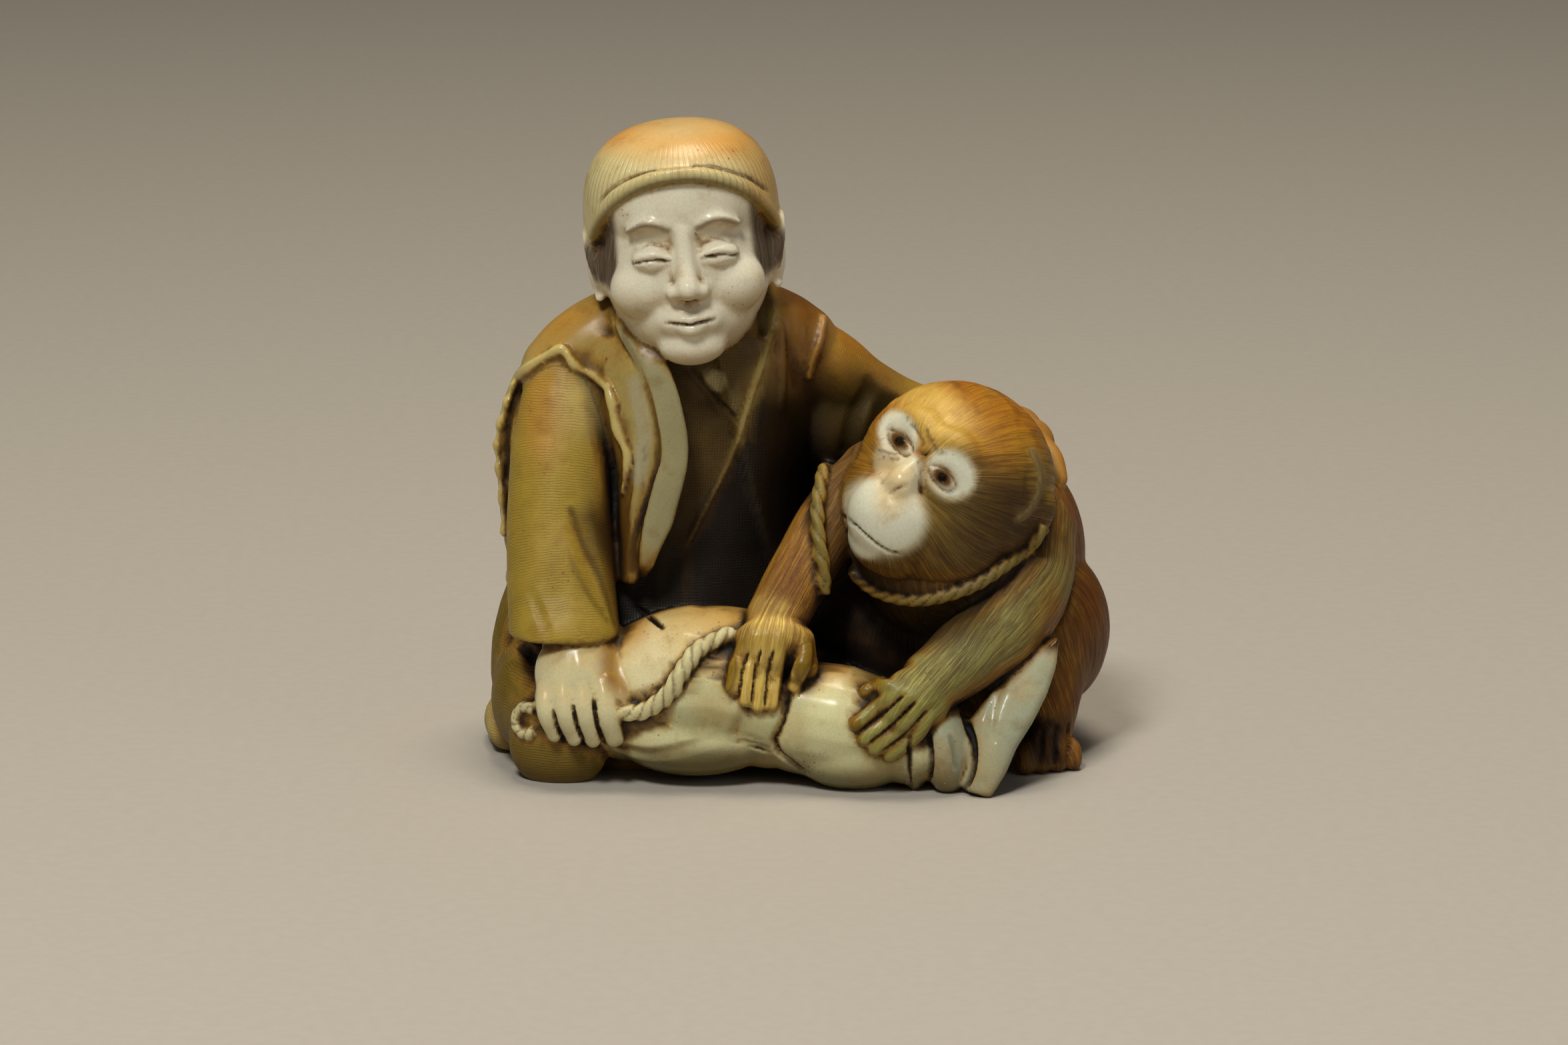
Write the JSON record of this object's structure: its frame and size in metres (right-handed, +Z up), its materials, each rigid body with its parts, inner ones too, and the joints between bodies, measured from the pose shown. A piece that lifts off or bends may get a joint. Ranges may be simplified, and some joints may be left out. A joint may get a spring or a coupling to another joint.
{
  "type": "okimono",
  "caption": "Small ivory okimono of a seated trainer with an arm round a monkey, both with their hands on a tied cloth bag, and a lead rope.",
  "frame": {"origin": "middle of the outline, at the height of the surface it stands on", "axes": "+Z up, -Y towards the viewer whom the trainer faces, +X from the trainer towards the monkey"},
  "size_m": [0.0492, 0.0307, 0.0498],
  "materials": {
    "ivory": null
  },
  "bodies": {
    "root": {"trainer_and_monkey": "ivory"}
  },
  "joints": []
}
